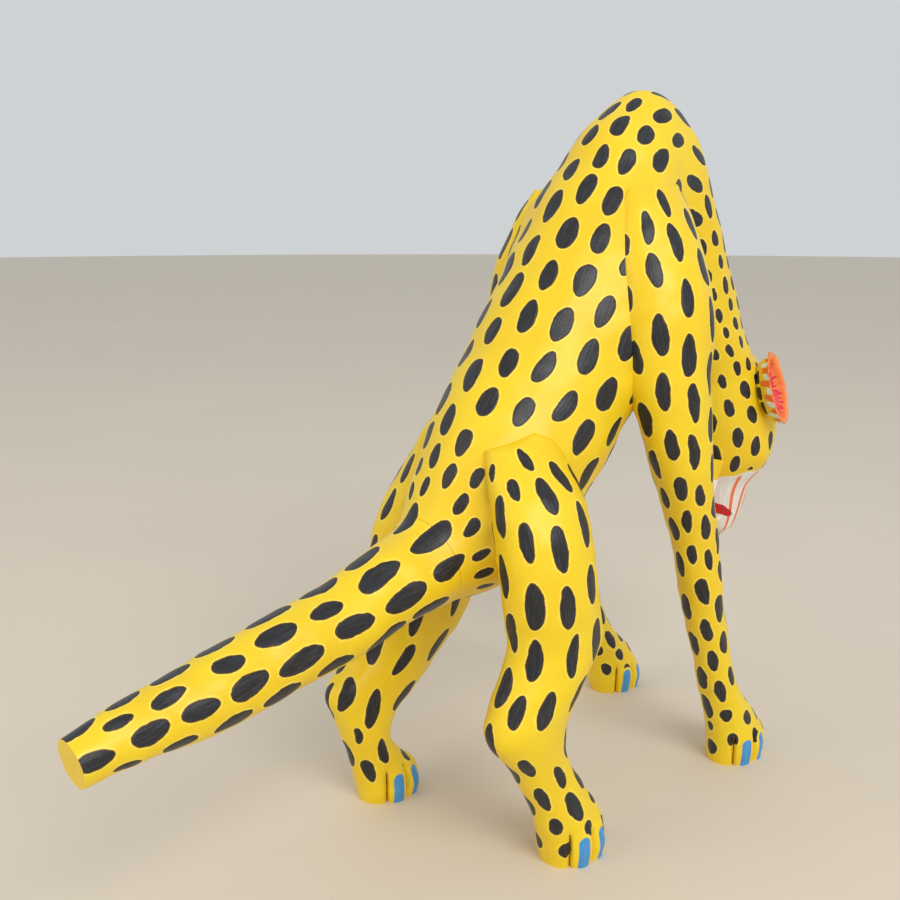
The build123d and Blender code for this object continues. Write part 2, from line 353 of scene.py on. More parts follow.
# A spot's paint reaches this far off its plane, and its edge is uneven.
edgeLook = {
    "batch": 4000, "depth": 12, "eggReach": 1.3, "waves": ((9.0, 5, 9, 0.28), (3.5, 6, 9, 0.12)),
}


# Distance in mm to the nearest spot's edge (negative inside), from an egg-shaped, bent
# ellipse in the spot's own plane, with where the point lies in that spot.
def spotField(points, spots):
    look = edgeLook
    edge, local = [], []
    for part in np.array_split(points, max(1, len(points) // look["batch"])):
        rel = part[:, None] - spots["at"]
        u = np.einsum("pkc,kc->pk", rel, spots["long"])
        v = np.einsum("pkc,kc->pk", rel, spots["side"])
        off = np.sqrt(np.maximum(np.sum(rel**2, axis=2) - u**2 - v**2, 0))
        a, b = spots["halfLong"], spots["halfSide"]
        v = v - spots["bend"] * (u**2 / a - a / 3)
        wide = b * (1 + spots["egg"] * np.clip(u / a, -look["eggReach"], look["eggReach"]))
        size = np.hypot(u / a, v / wide)
        slope = np.hypot(u / a**2, v / wide**2) / np.maximum(size, 1e-6)
        d = (size - 1) / np.maximum(slope, 1e-4) + np.maximum(off - look["depth"], 0)
        best = np.argmin(d, axis=1)
        pick = np.arange(len(part))
        edge.append(d[pick, best])
        local.append(np.stack([u[pick, best], v[pick, best], spots["tone"][best]], 1))
    return np.concatenate(edge) + uneven(points, look["waves"]), np.concatenate(local)


# A new object of some data, in the scene.
def newObject(name, data):
    item = bpy.data.objects.new(name, data)
    bpy.context.collection.objects.link(item)
    return item


# A closed skin from a grid of rings: quads between rings and a fan on each end. Edges
# sharper than the crease angle, in degrees, are shaded sharp.
def skinPiece(name, grid, data, material, body, nodes, creaseAngle=48):
    n, m = grid.shape[:2]
    ends = np.stack([grid[0].mean(axis=0), grid[-1].mean(axis=0)])
    verts = np.concatenate([grid.reshape(-1, 3), ends]) * mm
    row = np.arange(n - 1)[:, None] * m
    col = np.arange(m)
    right = (col + 1) % m
    quads = np.stack([row + col, row + right, row + m + right, row + m + col], -1).reshape(-1, 4)
    last = (n - 1) * m
    fans = np.concatenate([
        np.stack([right, col, np.full(m, n * m)], -1),
        np.stack([last + col, last + right, np.full(m, n * m + 1)], -1),
    ])
    corner = verts[quads]
    first, second, third = corner[:, 0], corner[:, 1], corner[:, 2]
    volume = np.sum(np.cross(second - first, third - first) * first)
    if volume < 0:
        quads, fans = quads[:, ::-1], fans[:, ::-1]
    mesh = bpy.data.meshes.new(name)
    mesh.vertices.add(len(verts))
    mesh.vertices.foreach_set("co", verts.ravel())
    mesh.loops.add(quads.size + fans.size)
    mesh.loops.foreach_set("vertex_index", np.concatenate([quads.ravel(), fans.ravel()]))
    mesh.polygons.add(len(quads) + len(fans))
    starts = np.concatenate([np.arange(len(quads)) * 4, quads.size + np.arange(len(fans)) * 3])
    mesh.polygons.foreach_set("loop_start", starts)
    mesh.update(calc_edges=True)
    mesh.polygons.foreach_set("use_smooth", np.ones(len(mesh.polygons), bool))
    for key, values in data.items():
        values = np.asarray(values, float).reshape(n * m, -1)
        middles = [values[:m].mean(0)[None], values[last:].mean(0)[None]]
        values = np.concatenate([values, *middles])
        kind, field = ("FLOAT", "value") if values.shape[1] == 1 else ("FLOAT_VECTOR", "vector")
        layer = mesh.attributes.new(key, kind, "POINT")
        layer.data.foreach_set(field, values.ravel())
    mesh.validate()
    mesh.set_sharp_from_angle(angle=math.radians(creaseAngle))
    piece = newObject(name, mesh)
    mesh.materials.append(material)
    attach(piece, body)
    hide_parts(*nodes)
    print(name, len(verts), "points")


# How far along and round each point of a ring grid is, in mm, for the brush work. The
# third measure tells the two sides apart.
def flowOf(grid, apart=0.1):
    steps = np.linalg.norm(np.diff(grid, axis=0), axis=2).max(axis=1)
    along = np.concatenate([[0], np.cumsum(steps)])
    girth = np.linalg.norm(np.diff(grid, axis=1, append=grid[:, :1]), axis=2).sum(axis=1)
    turn = np.abs(np.linspace(0, 1, grid.shape[1], endpoint=False) - 0.5)
    flow = np.zeros(grid.shape)
    flow[..., 0] = along[:, None]
    flow[..., 1] = turn[None] * girth.max()
    flow[..., 2] = grid[..., 0] * apart
    return flow


# The attributes of a spotted skin.
def spotData(grid, spots):
    edge, local = spotField(grid.reshape(-1, 3), spots)
    return {"spot": edge.reshape(grid.shape[:2]), "brush": local, "flow": flowOf(grid)}


# Oval patches in a form's own surface, as spots with a plain shape: each is a middle,
# the direction of its long axis, the surface's normal, and its half length and width.
def patches(rows):
    at, long, out, halfLong, halfSide = (np.array(column, float) for column in zip(*rows))
    out = unit(out)
    long = unit(long - np.sum(long * out, 1)[:, None] * out)
    zero = np.zeros(len(at))
    return {
        "at": at, "long": long, "side": np.cross(out, long), "halfLong": halfLong,
        "halfSide": halfSide, "egg": zero, "bend": zero, "tone": zero + 0.5,
    }


# A place beside, ahead of the hips' line and above the floor, in the shared frame.
def place(x, ahead, height):
    return np.array([x, hipY - ahead, height], float)


# A number or colour on its way through a material's nodes, with plain arithmetic.
class Wire:
    def __init__(self, recipe, socket):
        self.recipe = recipe
        self.socket = socket
        self.wide = socket.type in ("VECTOR", "RGBA")

    def join(self, operation, *values):
        wide = any(isinstance(v, tuple) or (isinstance(v, Wire) and v.wide) for v in values)
        kind = "ShaderNodeVectorMath" if wide else "ShaderNodeMath"
        plain = [(v,) * 3 if wide and isinstance(v, (int, float)) else v for v in values]
        return self.recipe.add(kind, {"operation": operation}, dict(enumerate(plain)))

    def __add__(self, other):
        return self.join("ADD", self, other)

    def __sub__(self, other):
        return self.join("SUBTRACT", self, other)

    def __rsub__(self, other):
        return self.join("SUBTRACT", other, self)

    def __mul__(self, other):
        return self.join("MULTIPLY", self, other)

    __radd__ = __add__
    __rmul__ = __mul__

    # 0 at low, 1 at high, smooth between; low may be the greater.
    def step(self, low, high):
        values = {"Value": self, "From Min": low, "From Max": high}
        settings = {"interpolation_type": "SMOOTHSTEP"}
        return self.recipe.add("ShaderNodeMapRange", settings, values)


# A material under construction.
class Recipe:
    def __init__(self, name):
        self.material = bpy.data.materials.new(name)
        self.material.use_nodes = True
        self.tree = self.material.node_tree
        self.tree.nodes.clear()

    # Any node: its settings, then values or wires for its inputs by name or number.
    def add(self, kind, settings=None, values=None, out=0):
        node = self.tree.nodes.new(kind)
        for key, value in (settings or {}).items():
            setattr(node, key, value)
        for key, value in (values or {}).items():
            if isinstance(value, Wire):
                self.tree.links.new(value.socket, node.inputs[key])
            else:
                node.inputs[key].default_value = value
        return Wire(self, node.outputs[out]) if node.outputs else None

    def number(self, name):
        return self.add("ShaderNodeAttribute", {"attribute_name": name}, out="Fac")

    def vector(self, name):
        return self.add("ShaderNodeAttribute", {"attribute_name": name}, out="Vector")

    def noise(self, where, scale, detail=2.0, rough=0.5):
        values = {"Vector": where, "Scale": scale, "Detail": detail, "Roughness": rough}
        return self.add("ShaderNodeTexNoise", None, values)

    def mix(self, share, first, second):
        colours = [(*c, 1) if isinstance(c, tuple) else c for c in (first, second)]
        values = {0: share, 6: colours[0], 7: colours[1]}
        return self.add("ShaderNodeMix", {"data_type": "RGBA"}, values, out=2)

    def blend(self, share, first, second):
        values = {0: share, 2: first, 3: second}
        return self.add("ShaderNodeMix", {"data_type": "FLOAT"}, values)

    def finish(self, colour, rough, height, depth, fixed):
        relief = {"Height": height, "Distance": depth, "Strength": 1.0}
        bump = self.add("ShaderNodeBump", None, relief)
        values = {"Base Color": colour, "Roughness": rough, "Normal": bump, **fixed}
        shader = self.add("ShaderNodeBsdfPrincipled", None, values)
        self.add("ShaderNodeOutputMaterial", None, {"Surface": shader})
        return self.material


# Acrylic brushed on carved wood. Colours go on in layers; each layer shows where its
# attribute, a distance in mm, is below zero. Spots have a dark brown rim and a thin
# paler halo where the yellow was cut in round them. An edge is where its paint starts
# and where it is full, in mm.
# The bluish-grey colour streaked through the spots is a painted sheen, a painted reflection of the
# sky on the glossy black paint.
paintLook = {
    "yellow": (0.90, 0.645, 0.012), "deep": (0.84, 0.50, 0.008), "halo": (0.93, 0.76, 0.10),
    "rim": (0.075, 0.030, 0.012), "black": (0.011, 0.011, 0.013), "paintedSheen": (0.042, 0.047, 0.058),
    "wood": (0.60, 0.42, 0.24), "rough": 0.42, "spotRough": 0.36, "layerRough": 0.4,
    "woodRough": 0.75, "relief": 0.0006, "blotchScale": 14.0, "fineScale": 160.0,
    "brush": (0.045, 0.42, 1.0), "hairs": (0.07, 0.85, 31.0), "grain": (140.0, 12.0, 140.0),
    "haloEdge": (1.9, 1.0), "rimEdge": (0.35, -0.15), "inkEdge": (-0.55, -1.25),
    "layerEdge": (0.3, -0.3), "shade": 0.78, "woodShade": 0.72,
    "varnish": {"Specular IOR Level": 0.4, "Coat Weight": 0.08, "Coat Roughness": 0.28},
}


# A colour times a number.
def darker(colour, share):
    return tuple(c * share for c in colour)


def paint(name, layers=(), spotted=True, bare=False, base=None):
    look = paintLook
    r = Recipe(name)
    flow = r.vector("flow")
    where = r.add("ShaderNodeTexCoord", out="Object")
    blotch = r.noise(where, look["blotchScale"], 3.0)
    fine = r.noise(where, look["fineScale"], 4.0, 0.6)
    stroke = r.noise(flow * look["brush"], 1.0, 3.0, 0.6)
    if base:
        colour = r.mix(stroke.step(0.3, 0.8) * 0.5, base, darker(base, look["shade"]))
    else:
        colour = r.mix(blotch.step(0.35, 0.75) * 0.45, look["yellow"], look["deep"])
        colour = r.mix(stroke.step(0.55, 0.8) * 0.35, colour, look["halo"])
    rough = look["rough"] + stroke * 0.16 - 0.08
    height = stroke * 0.22 + fine * 0.16
    ragged = fine * 0.7 - 0.35
    if spotted:
        edge = r.number("spot")
        local = r.vector("brush")
        tone = r.add("ShaderNodeSeparateXYZ", None, {0: local}, out=2)
        hair = r.noise(local * look["hairs"], 1.0, 3.0, 0.65)
        halo = edge.step(*look["haloEdge"]) * stroke.step(0.3, 0.6)
        colour = r.mix(halo * 0.8, colour, look["halo"])
        colour = r.mix((edge + ragged).step(*look["rimEdge"]), colour, look["rim"])
        # painted sheen: brush-hair streaks in each black spot take a bluish-grey colour, a painted
        # reflection of the sky
        paintedShine = hair.step(0.42, 0.72) * (0.45 + tone * 0.55)
        inside = (edge + ragged * 0.6).step(*look["inkEdge"])
        colour = r.mix(inside, colour, r.mix(paintedShine, look["black"], look["paintedSheen"]))
        rough = r.blend(inside, rough, look["spotRough"] + hair * 0.22 - 0.1)
        height = height + inside * (0.30 + hair * 0.55)
    for attribute, shade, dark in layers:
        mask = (r.number(attribute) + ragged).step(*look["layerEdge"])
        colour = r.mix(mask, colour, r.mix(stroke.step(0.3, 0.75), shade, dark))
        rough = r.blend(mask, rough, look["layerRough"])
        height = height + mask * 0.25
    if bare:
        grain = r.noise(where * look["grain"], 1.0, 3.0)
        wood = r.mix(grain.step(0.35, 0.7), look["wood"], darker(look["wood"], look["woodShade"]))
        mask = (r.number("bare") + ragged).step(*look["layerEdge"])
        colour = r.mix(mask, colour, wood)
        rough = r.blend(mask, rough, look["woodRough"])
    return r.finish(colour, rough, height, look["relief"], look["varnish"])


# Plain whittled wood with its grain along Y, for pegs and dowels.
def bareWood(name, tone):
    r = Recipe(name)
    where = r.add("ShaderNodeTexCoord", out="Object")
    grain = r.noise(where * (260.0, 18.0, 260.0), 1.0, 4.0, 0.6)
    blotch = r.noise(where, 30.0)
    colour = r.mix(grain.step(0.3, 0.7), tone, darker(tone, 0.66))
    colour = r.mix(blotch.step(0.4, 0.8) * 0.4, colour, darker(tone, 0.85))
    return r.finish(colour, 0.62 + grain * 0.2, grain, 0.0003, {"Specular IOR Level": 0.3})


# Plain steel with brown stains.
def nailSteel(name):
    r = Recipe(name)
    where = r.add("ShaderNodeTexCoord", out="Object")
    stain = r.noise(where, 240.0, 4.0)
    colour = r.mix(stain.step(0.45, 0.7), (0.42, 0.41, 0.40), (0.20, 0.11, 0.06))
    return r.finish(colour, 0.32 + stain * 0.3, stain, 0.0001, {"Metallic": 0.9})


orange, orangeDark = (0.93, 0.22, 0.045), (0.78, 0.11, 0.025)
white, whiteDark = (0.86, 0.84, 0.80), (0.72, 0.70, 0.66)
red, redDark = (0.62, 0.012, 0.012), (0.40, 0.006, 0.008)
pink, mint = (0.85, 0.07, 0.13), (0.50, 0.80, 0.68)
lilac, lilacDark = (0.42, 0.34, 0.78), (0.30, 0.22, 0.62)
blue, blueDark = (0.07, 0.34, 0.72), (0.04, 0.24, 0.56)
black = (0.012, 0.011, 0.012)

trunkPaint = paint("trunkPaint", bare=True)
# On the legs, the dark amber layer down the toe grooves is painted shade.
legPaint = paint("legPaint", [
    ("claw", blue, blueDark), ("grooveShade", (0.30, 0.13, 0.01), (0.16, 0.06, 0.01)),
])
# The tail's nail holes are painted near black: painted shade inside the holes.
tailPaint = paint("tailPaint", [("hole", (0.03, 0.02, 0.01), black)], bare=True)
headPaint = paint("headPaint", [
    ("white", white, whiteDark), ("stripe", orange, orangeDark), ("red", red, redDark),
    ("lilac", lilac, lilacDark), ("eye", white, whiteDark), ("iris", orange, (0.9, 0.45, 0.03)),
    ("pupil", black, black), ("nose", (0.70, 0.05, 0.06), (0.5, 0.03, 0.04)),
])
earPaint = paint("earPaint", [
    ("inside", orange, (0.95, 0.33, 0.10)), ("heart", pink, red), ("fringe", orange, orangeDark),
    ("pale", white, mint),
])
jawPaint = paint("jawPaint", [
    ("throat", paintLook["yellow"], paintLook["deep"]), ("red", red, redDark),
], spotted=False, base=white)
tonguePaint = paint("tonguePaint", spotted=False, base=pink)
fangPaint = paint("fangPaint", spotted=False, base=(0.86, 0.82, 0.70))


# Broad and fine marks of the knife.
knifeMarks = ((75, 1, 9, 0.7), (24, 2, 14, 0.3))


# A skin moved along its normals by the marks of the knife.
def carved(grid, normals):
    return grid + normals * uneven(grid, knifeMarks)[..., None]


# Rings that close a ring towards its middle, at shares of its size.
def shrunk(ring, shares):
    centre = ring.mean(axis=0)
    return centre + (ring - centre) * np.array(shares)[:, None, None]


# A skin with its end closed in a small dome, a quarter circle bulging onward.
def withDome(skin, rise, count):
    last = skin[-1]
    centre = last.mean(axis=0)
    onward = unit(centre - skin[-4].mean(axis=0))
    bow = np.linspace(0.15, 0.98, count) * np.pi / 2
    rings = [centre + (last - centre) * np.cos(b) + onward * rise * np.sin(b) for b in bow]
    return np.concatenate([skin, rings])


# How far round from straight up an angle is, on either side.
def fromTop(turn):
    return np.abs(np.where(turn > np.pi, turn - 2 * np.pi, turn))


# Each leg: its cuts, the rows that the trunk's spots keep off, how softly it melts into
# the trunk in mm and from which row, the row where the upper spots give way to the
# lower ones, its seed, and its paw's turn in degrees.
frontLeg = {"seam": (0.5, 7), "melt": 34, "top": 1.0, "swap": 8.5}
hindLeg = {"seam": (0.5, 6), "melt": 27, "top": 1.5, "swap": 7.5}
legParts = {
    "front_leg_right": {**frontLeg, "cuts": onSide(frontLegCuts, -1), "seed": 21, "turn": 48},
    "front_leg_left": {**frontLeg, "cuts": onSide(frontLegCuts, 1, 44.0), "seed": 22, "turn": 35},
    "hind_leg_right": {**hindLeg, "cuts": onSide(rightHindLegCuts, -1), "seed": 23, "turn": 40},
    "hind_leg_left": {**hindLeg, "cuts": onSide(leftHindLegCuts, 1), "seed": 24, "turn": 30},
}

# The trunk runs from the rump's flat seat, with its socket for the tail's peg, to the
# neck. Its cap is bare wood, in rings from the socket's floor out to the skin.
trunkLook = {
    "step": 2.2, "sides": 200, "socketRadius": 9.1, "socketDepths": (29.0, 28.5, 15.0, 0.6, 0.0),
    "capShares": (0.02, 0.3, 0.6, 0.85, 0.98, 0.995), "bareFar": 5.0, "bareEdge": 0.6,
    "spots": {
        "seed": 4, "columns": 16, "pitch": 39, "gap": 27.6, "power": 1.4, "least": 0.5,
        "most": 1.05, "length": 29.5, "width": 15.2, "tilt": 0.09, "start": 2, "end": 0,
    },
}


# The spots of trunk, tail and head together, so that none is cut short at a seam.
def allBodySpots(gap=6.0):
    seams = [(part["cuts"], part["seam"]) for part in legParts.values()]
    return prune(joinSpots(
        placeSpots(bodyCuts, trunkRange, trunkLook["spots"], seams),
        placeSpots(bodyCuts, tailRange, tailLook["spots"]),
        placeSpots(bodyCuts, headRange, headLook["spots"]),
    ), gap)


def makeTrunk():
    look = trunkLook
    t = evenRings(bodyCuts, trunkRange, look["step"])
    turn = fullTurn(look["sides"])
    skin = skinAt(bodyCuts, t, turn)
    normals = gridNormals(skin)
    for part in legParts.values():
        span = (part["top"], len(part["cuts"]) - 1)
        skin = swellTo(skin, normals, part["cuts"], span, part["melt"])
    skin = carved(skin, normals)
    middle, up, _ = ringsAt(bodyCuts, t[:1])
    inward = unit(np.cross(up[0], across))
    inward = inward * np.sign(-inward[1])
    circle = np.cos(turn)[:, None] * unit(up[0]) + np.sin(turn)[:, None] * across
    circle = middle + look["socketRadius"] * circle
    rings = [circle + inward * depth for depth in look["socketDepths"]]
    rings += [circle + (skin[0] - circle) * share for share in look["capShares"]]
    cap = np.stack(rings)
    grid = np.concatenate([cap, skin])

    # the cap's rings take the values of the skin's first ring
    def capped(values):
        values = values.reshape(*skin.shape[:2], -1)
        return np.concatenate([np.repeat(values[:1], len(cap), 0), values])

    data = {key: capped(values) for key, values in spotData(skin, bodySpots).items()}
    far, near = look["bareFar"], look["bareEdge"]
    edge = np.concatenate([np.full(len(cap), -far), np.full(len(skin), far)])
    edge[len(cap) - 2:len(cap) + 1] = (-near, 0.0, near)
    data["bare"] = np.repeat(edge[:, None], len(turn), 1)
    data["flow"] = flowOf(grid)
    skinPiece("trunkSkin", grid, data, trunkPaint, "root", ["trunk"])


# The tail from its sawn tip, with two nail holes, to the flat root that meets the rump.
# Its caps' rings are shares of the end ring; the middle run is close, for the holes.
tailLook = {
    "step": 1.8, "sides": 150, "holeRadius": 1.0, "holeDepth": 6.0, "holeLift": 4.5,
    "holeSlope": 0.35, "holeRim": 0.1, "gap": 0.3, "far": 9.0, "spotFree": 30,
    "tipShares": ((0.03, 0.16, 4), (0.19, 0.38, 16), (0.42, 0.97, 9), (0.992, 0.992, 1)),
    "rootShares": (0.995, 0.98, 0.7, 0.35, 0.1), "bareFar": 5.0,
    "bareEnd": (0.6, 0.0, -0.6, -5, -5, -5),
    "spots": {
        "seed": 8, "columns": 8, "pitch": 43, "gap": 21, "power": 0.8, "least": 0.8,
        "most": 1.15, "length": 33, "width": 14.5, "tilt": 0.07, "start": 8, "end": -4,
    },
}


def makeTail():
    look = tailLook
    t = evenRings(bodyCuts, tailRange, look["step"])
    turn = fullTurn(look["sides"])
    skin = skinAt(bodyCuts, t, turn)
    skin = carved(skin, gridNormals(skin))
    tip, root = skin[0], skin[-1]
    centre = tip.mean(axis=0)
    tipAxis = unit(np.cross(tip[0] - centre, tip[len(turn) // 4] - centre))
    tipAxis = tipAxis * np.sign(tipAxis[1])
    tipCap = shrunk(tip, np.concatenate([np.linspace(*run) for run in look["tipShares"]]))
    hole = np.full(tipCap.shape[:2], look["far"])
    for lift in (-look["holeLift"], look["holeLift"]):
        away = np.linalg.norm(tipCap - centre - np.array([0, 0, lift]), axis=-1)
        hole = np.minimum(hole, away - look["holeRadius"])
    sink = np.clip(-hole / look["holeSlope"], 0, 1) * look["holeDepth"]
    tipCap = tipCap - tipAxis * sink[..., None]
    rootCap = shrunk(root, look["rootShares"])
    grid = np.concatenate([tipCap, skin, rootCap])
    data = spotData(grid, bodySpots)
    data["spot"][:len(tipCap)] += look["spotFree"]
    data["bare"] = np.full(grid.shape[:2], look["bareFar"])
    data["bare"][-len(rootCap) - 1:] = np.array(look["bareEnd"])[:, None]
    # painted shade: near-black discs over the two sunk nail holes stand for the shade inside them
    data["hole"] = np.full(grid.shape[:2], look["far"])
    data["hole"][:len(tipCap)] = hole + look["holeRim"]
    axis = unit(root.mean(axis=0) - skin[-3].mean(axis=0))
    grid = grid - axis * look["gap"]
    skinPiece("tailSkin", grid, data, tailPaint, "tail_body", ["tail"])


# A leg swells to meet the trunk in a soft hollow. Its toes are parted by rounded
# grooves, each with painted shade down its bottom, and each toe has a painted claw.
# Directions are in degrees from straight ahead of the paw, and each fade is the length
# over which a shape dies away.
legLook = {
    "step": 1.8, "sides": 160, "grooves": (-102, -50, 0, 50, 102), "grooveDepth": 5.0,
    "grooveWidth": 1.8, "toes": (-76, -25, 25, 76), "lobe": 1.8, "lobeWidth": 6.5,
    "toeTop": 36, "toeFade": 14, "core": 13, "coreFade": 6, "fan": 122, "fanFade": 14,
    "clawHalf": 4.9, "clawTop": 26.0, "paintCore": 12, "grooveShadeHalf": 0.7, "grooveShadeReach": 0.35,
    "far": 9.0, "clawMargin": 2.5, "soleShares": (0.985, 0.9, 0.6, 0.3, 0.1),
    "firstRow": 0.4, "footRows": 2.6, "spotGap": 5.0,
}
upperSpots = {
    "columns": 9, "pitch": 42, "gap": 21.5, "power": 0.7, "least": 0.7, "most": 1.05,
    "length": 32, "width": 12, "tilt": 0.05,
}
lowerSpots = {
    **upperSpots, "columns": 7, "pitch": 39, "gap": 17.5, "length": 28, "width": 11.5,
    "least": 0.75, "most": 1.0,
}
footSpots = {**lowerSpots, "pitch": 26, "gap": 19, "length": 16, "width": 11, "end": 14}


def makeLeg(name, part):
    look = legLook
    cuts = part["cuts"]
    last = len(cuts) - 1
    turn = fullTurn(look["sides"])
    skin = skinAt(cuts, evenRings(cuts, (0, last), look["step"]), turn)
    normals = gridNormals(skin)
    skin = swellTo(skin, normals, bodyCuts, trunkRange, part["melt"])
    skin = carved(skin, normals)
    seed, ankle = part["seed"], last - look["footRows"]
    upperRows, lowerRows = (look["firstRow"], part["swap"]), (part["swap"], ankle)
    spots = prune(joinSpots(
        placeSpots(cuts, upperRows, dict(upperSpots, seed=seed), [(bodyCuts, trunkRange)]),
        placeSpots(cuts, lowerRows, dict(lowerSpots, seed=seed + 10)),
        placeSpots(cuts, (ankle, last), dict(footSpots, seed=seed + 20)),
    ), look["spotGap"])
    # toes fan round the front of the paw, which is turned towards the figure's right;
    # how far round a point is from a toe's line is angle times radius
    heel, toe = cuts[-1][3], cuts[-1][1]
    rel = skin - place(cuts[-1][0], (heel + toe) / 2, 0)
    radius = np.hypot(rel[..., 0], rel[..., 1])
    heading = np.degrees(np.arctan2(-rel[..., 0], -rel[..., 1])) - part["turn"]
    heading = (heading + 180) % 360 - 180

    def roundFrom(direction):
        return np.radians(heading - direction) * radius

    def bumps(directions, width):
        return sum(np.exp(-((roundFrom(d) / width) ** 2)) for d in directions)

    z = skin[..., 2]
    low = np.clip((look["toeTop"] - z) / look["toeFade"], 0, 1)
    low = low * np.clip((radius - look["core"]) / look["coreFade"], 0, 1)
    ahead = np.clip((look["fan"] - np.abs(heading)) / look["fanFade"], 0, 1)
    reach = low * low * (3 - 2 * low) * ahead
    groove = bumps(look["grooves"], look["grooveWidth"])
    lobe = bumps(look["toes"], look["lobeWidth"])
    shift = (lobe * look["lobe"] - groove * look["grooveDepth"]) * reach
    skin = skin + unit(rel * np.array([1, 1, 0])) * shift[..., None]
    skin[..., 2] = np.maximum(skin[..., 2], 0.0)
    # claws: upright painted bars with round tops on the face of each toe
    over = np.maximum(z - (look["clawTop"] - look["clawHalf"]), 0)
    claw = np.minimum.reduce([np.hypot(roundFrom(d), over) for d in look["toes"]])
    claw = np.minimum(claw - look["clawHalf"], look["far"])
    # painted shade: a dark amber line, a little over a mm wide, down the bottom of each toe groove
    # where shade falls
    grooveShade = np.minimum.reduce([np.abs(roundFrom(g)) for g in look["grooves"]])
    face = radius > look["paintCore"]
    claw = np.where(face, claw, look["far"])
    inShadedGroove = (reach > look["grooveShadeReach"]) & face
    grooveShade = np.where(inShadedGroove, grooveShade - look["grooveShadeHalf"], look["far"])
    caps = shrunk(skin[-1], look["soleShares"])
    grid = np.concatenate([skin, caps])
    data = spotData(grid, spots)
    plain = np.full(caps.shape[:2], look["far"])
    data["grooveShade"] = np.concatenate([grooveShade, plain])
    data["claw"] = np.concatenate([claw, plain])
    free = look["clawMargin"] - data["claw"]
    data["spot"] = np.maximum(data["spot"], free)
    skinPiece(name + "Skin", grid, data, legPaint, "root", [name])


# The hanging head: brows, cheeks, eye sockets, whisker pads and a nose are swells and
# dips, each a place, a height and a width. White paint starts below a sloping boundary
# and has stripes, each an angle from the top and a half width. Each eye is oval layers,
# each a half length and a half width.
headLook = {
    "step": 1.5, "sides": 230, "domeRise": 5.0, "domeRings": 9, "far": 9.0,
    "swells": [
        (22, 405, 288, 5.0, 13), (48, 350, 262, 4.0, 20), (27, 402, 268, -3.5, 10),
        (27, 403, 268, 3.0, 7), (17, 372, 212, 5.0, 13), (0, 370, 190, 3.5, 8),
        (5, 364, 184, -2.2, 2.6), (0, 400, 240, 2.5, 12),
    ],
    "spots": {
        "seed": 31, "columns": 16, "pitch": 31, "gap": 21, "power": 1.0, "least": 0.5,
        "most": 1.1, "length": 20, "width": 10.5, "tilt": 0.12,
    },
    "boundary": 248.0, "rise": 0.12, "boundaryAhead": 320, "waves": [(30, 41, 9, 0.8)],
    "stripes": ((0.55, 1.6), (1.0, 2.3), (1.45, 2.6), (1.95, 1.8)), "stripeBow": 0.10,
    "stripeGirth": 26, "stripeLeast": 0.35, "margin": 2,
    "eyes": {"lilac": (21.0, 9.5), "eye": (14.0, 7.2), "iris": (5.9, 5.9), "pupil": (2.4, 4.6)},
    "lilacBack": 5.0, "nose": (8.5, 5.5), "mouth": (15, 4.6),
}


def makeHead():
    look = headLook
    turn = fullTurn(look["sides"])
    skin = skinAt(bodyCuts, evenRings(bodyCuts, headRange, look["step"]), turn)
    normals = gridNormals(skin)
    skin = carved(skin, normals)
    for x, ahead, height, rise, width in look["swells"]:
        for side in ((-1, 1) if x else (1,)):
            far = np.linalg.norm(skin - place(side * x, ahead, height), axis=-1)
            skin = skin + normals * (rise * np.exp(-(far / width) ** 2))[..., None]
    grid = withDome(skin, look["domeRise"], look["domeRings"])
    n, m = grid.shape[:2]
    flat = grid.reshape(-1, 3)
    data = spotData(grid, bodySpots)
    slope = look["rise"] * (hipY - grid[..., 1] - look["boundaryAhead"])
    white = grid[..., 2] - (look["boundary"] + slope) + uneven(grid, look["waves"])
    ringWide = np.linalg.norm(grid - grid.mean(axis=1, keepdims=True), axis=-1)
    narrow = np.clip(ringWide / look["stripeGirth"], look["stripeLeast"], 1)
    stripe = np.full((n, m), look["far"])
    for middle, half in look["stripes"]:
        curved = middle + look["stripeBow"] * np.sin(np.linspace(0, 3, n))[:, None]
        stripe = np.minimum(stripe, np.abs(fromTop(turn) - curved) * ringWide - half * narrow)
    data["white"] = white
    data["stripe"] = np.maximum(stripe, white + look["margin"])
    for key, halves in look["eyes"].items():
        back = look["lilacBack"] if key == "lilac" else 0.0
        rows = []
        for side in (-1, 1):
            long = (side * 16, 31, 6) if key in ("lilac", "eye") else (0, 0, 1)
            middle = place(side * (33 + back * 0.45), 399 - back, 270)
            rows.append((middle, long, (side * 0.76, -0.75, -0.1), *halves))
        data[key], _ = spotField(flat, patches(rows))
    nose = [(place(0, 371, 188), (1, 0, 0), (0, -1, -0.6), *look["nose"])]
    mouth = [
        (place(side * 21, 330, 211), (0, 1.0, 0.5), (side, 0.35, 0), *look["mouth"])
        for side in (-1, 1)]
    data["nose"], _ = spotField(flat, patches(nose))
    data["red"], _ = spotField(flat, patches(mouth))
    free = np.minimum(white, data["lilac"].reshape(n, m)) - look["margin"]
    data["spot"] = np.maximum(data["spot"], -free)
    skinPiece("headSkin", grid, data, headPaint, "root", ["head"])


bodySpots = allBodySpots()
makeTrunk()
makeTail()
for legName, legPart in legParts.items():
    makeLeg(legName, legPart)
makeHead()


# The lower jaw hangs open below the throat; the tongue lies in it. The jaw is red in
# front, within an angle of the top, and yellow above a height.
mouthLook = {
    "domeRise": 4.0, "domeRings": 7, "waves": [(22, 3, 9, 0.3)], "redHalf": 1.05,
    "redScale": 20, "throat": 247, "throatUneven": (20, 4),
}


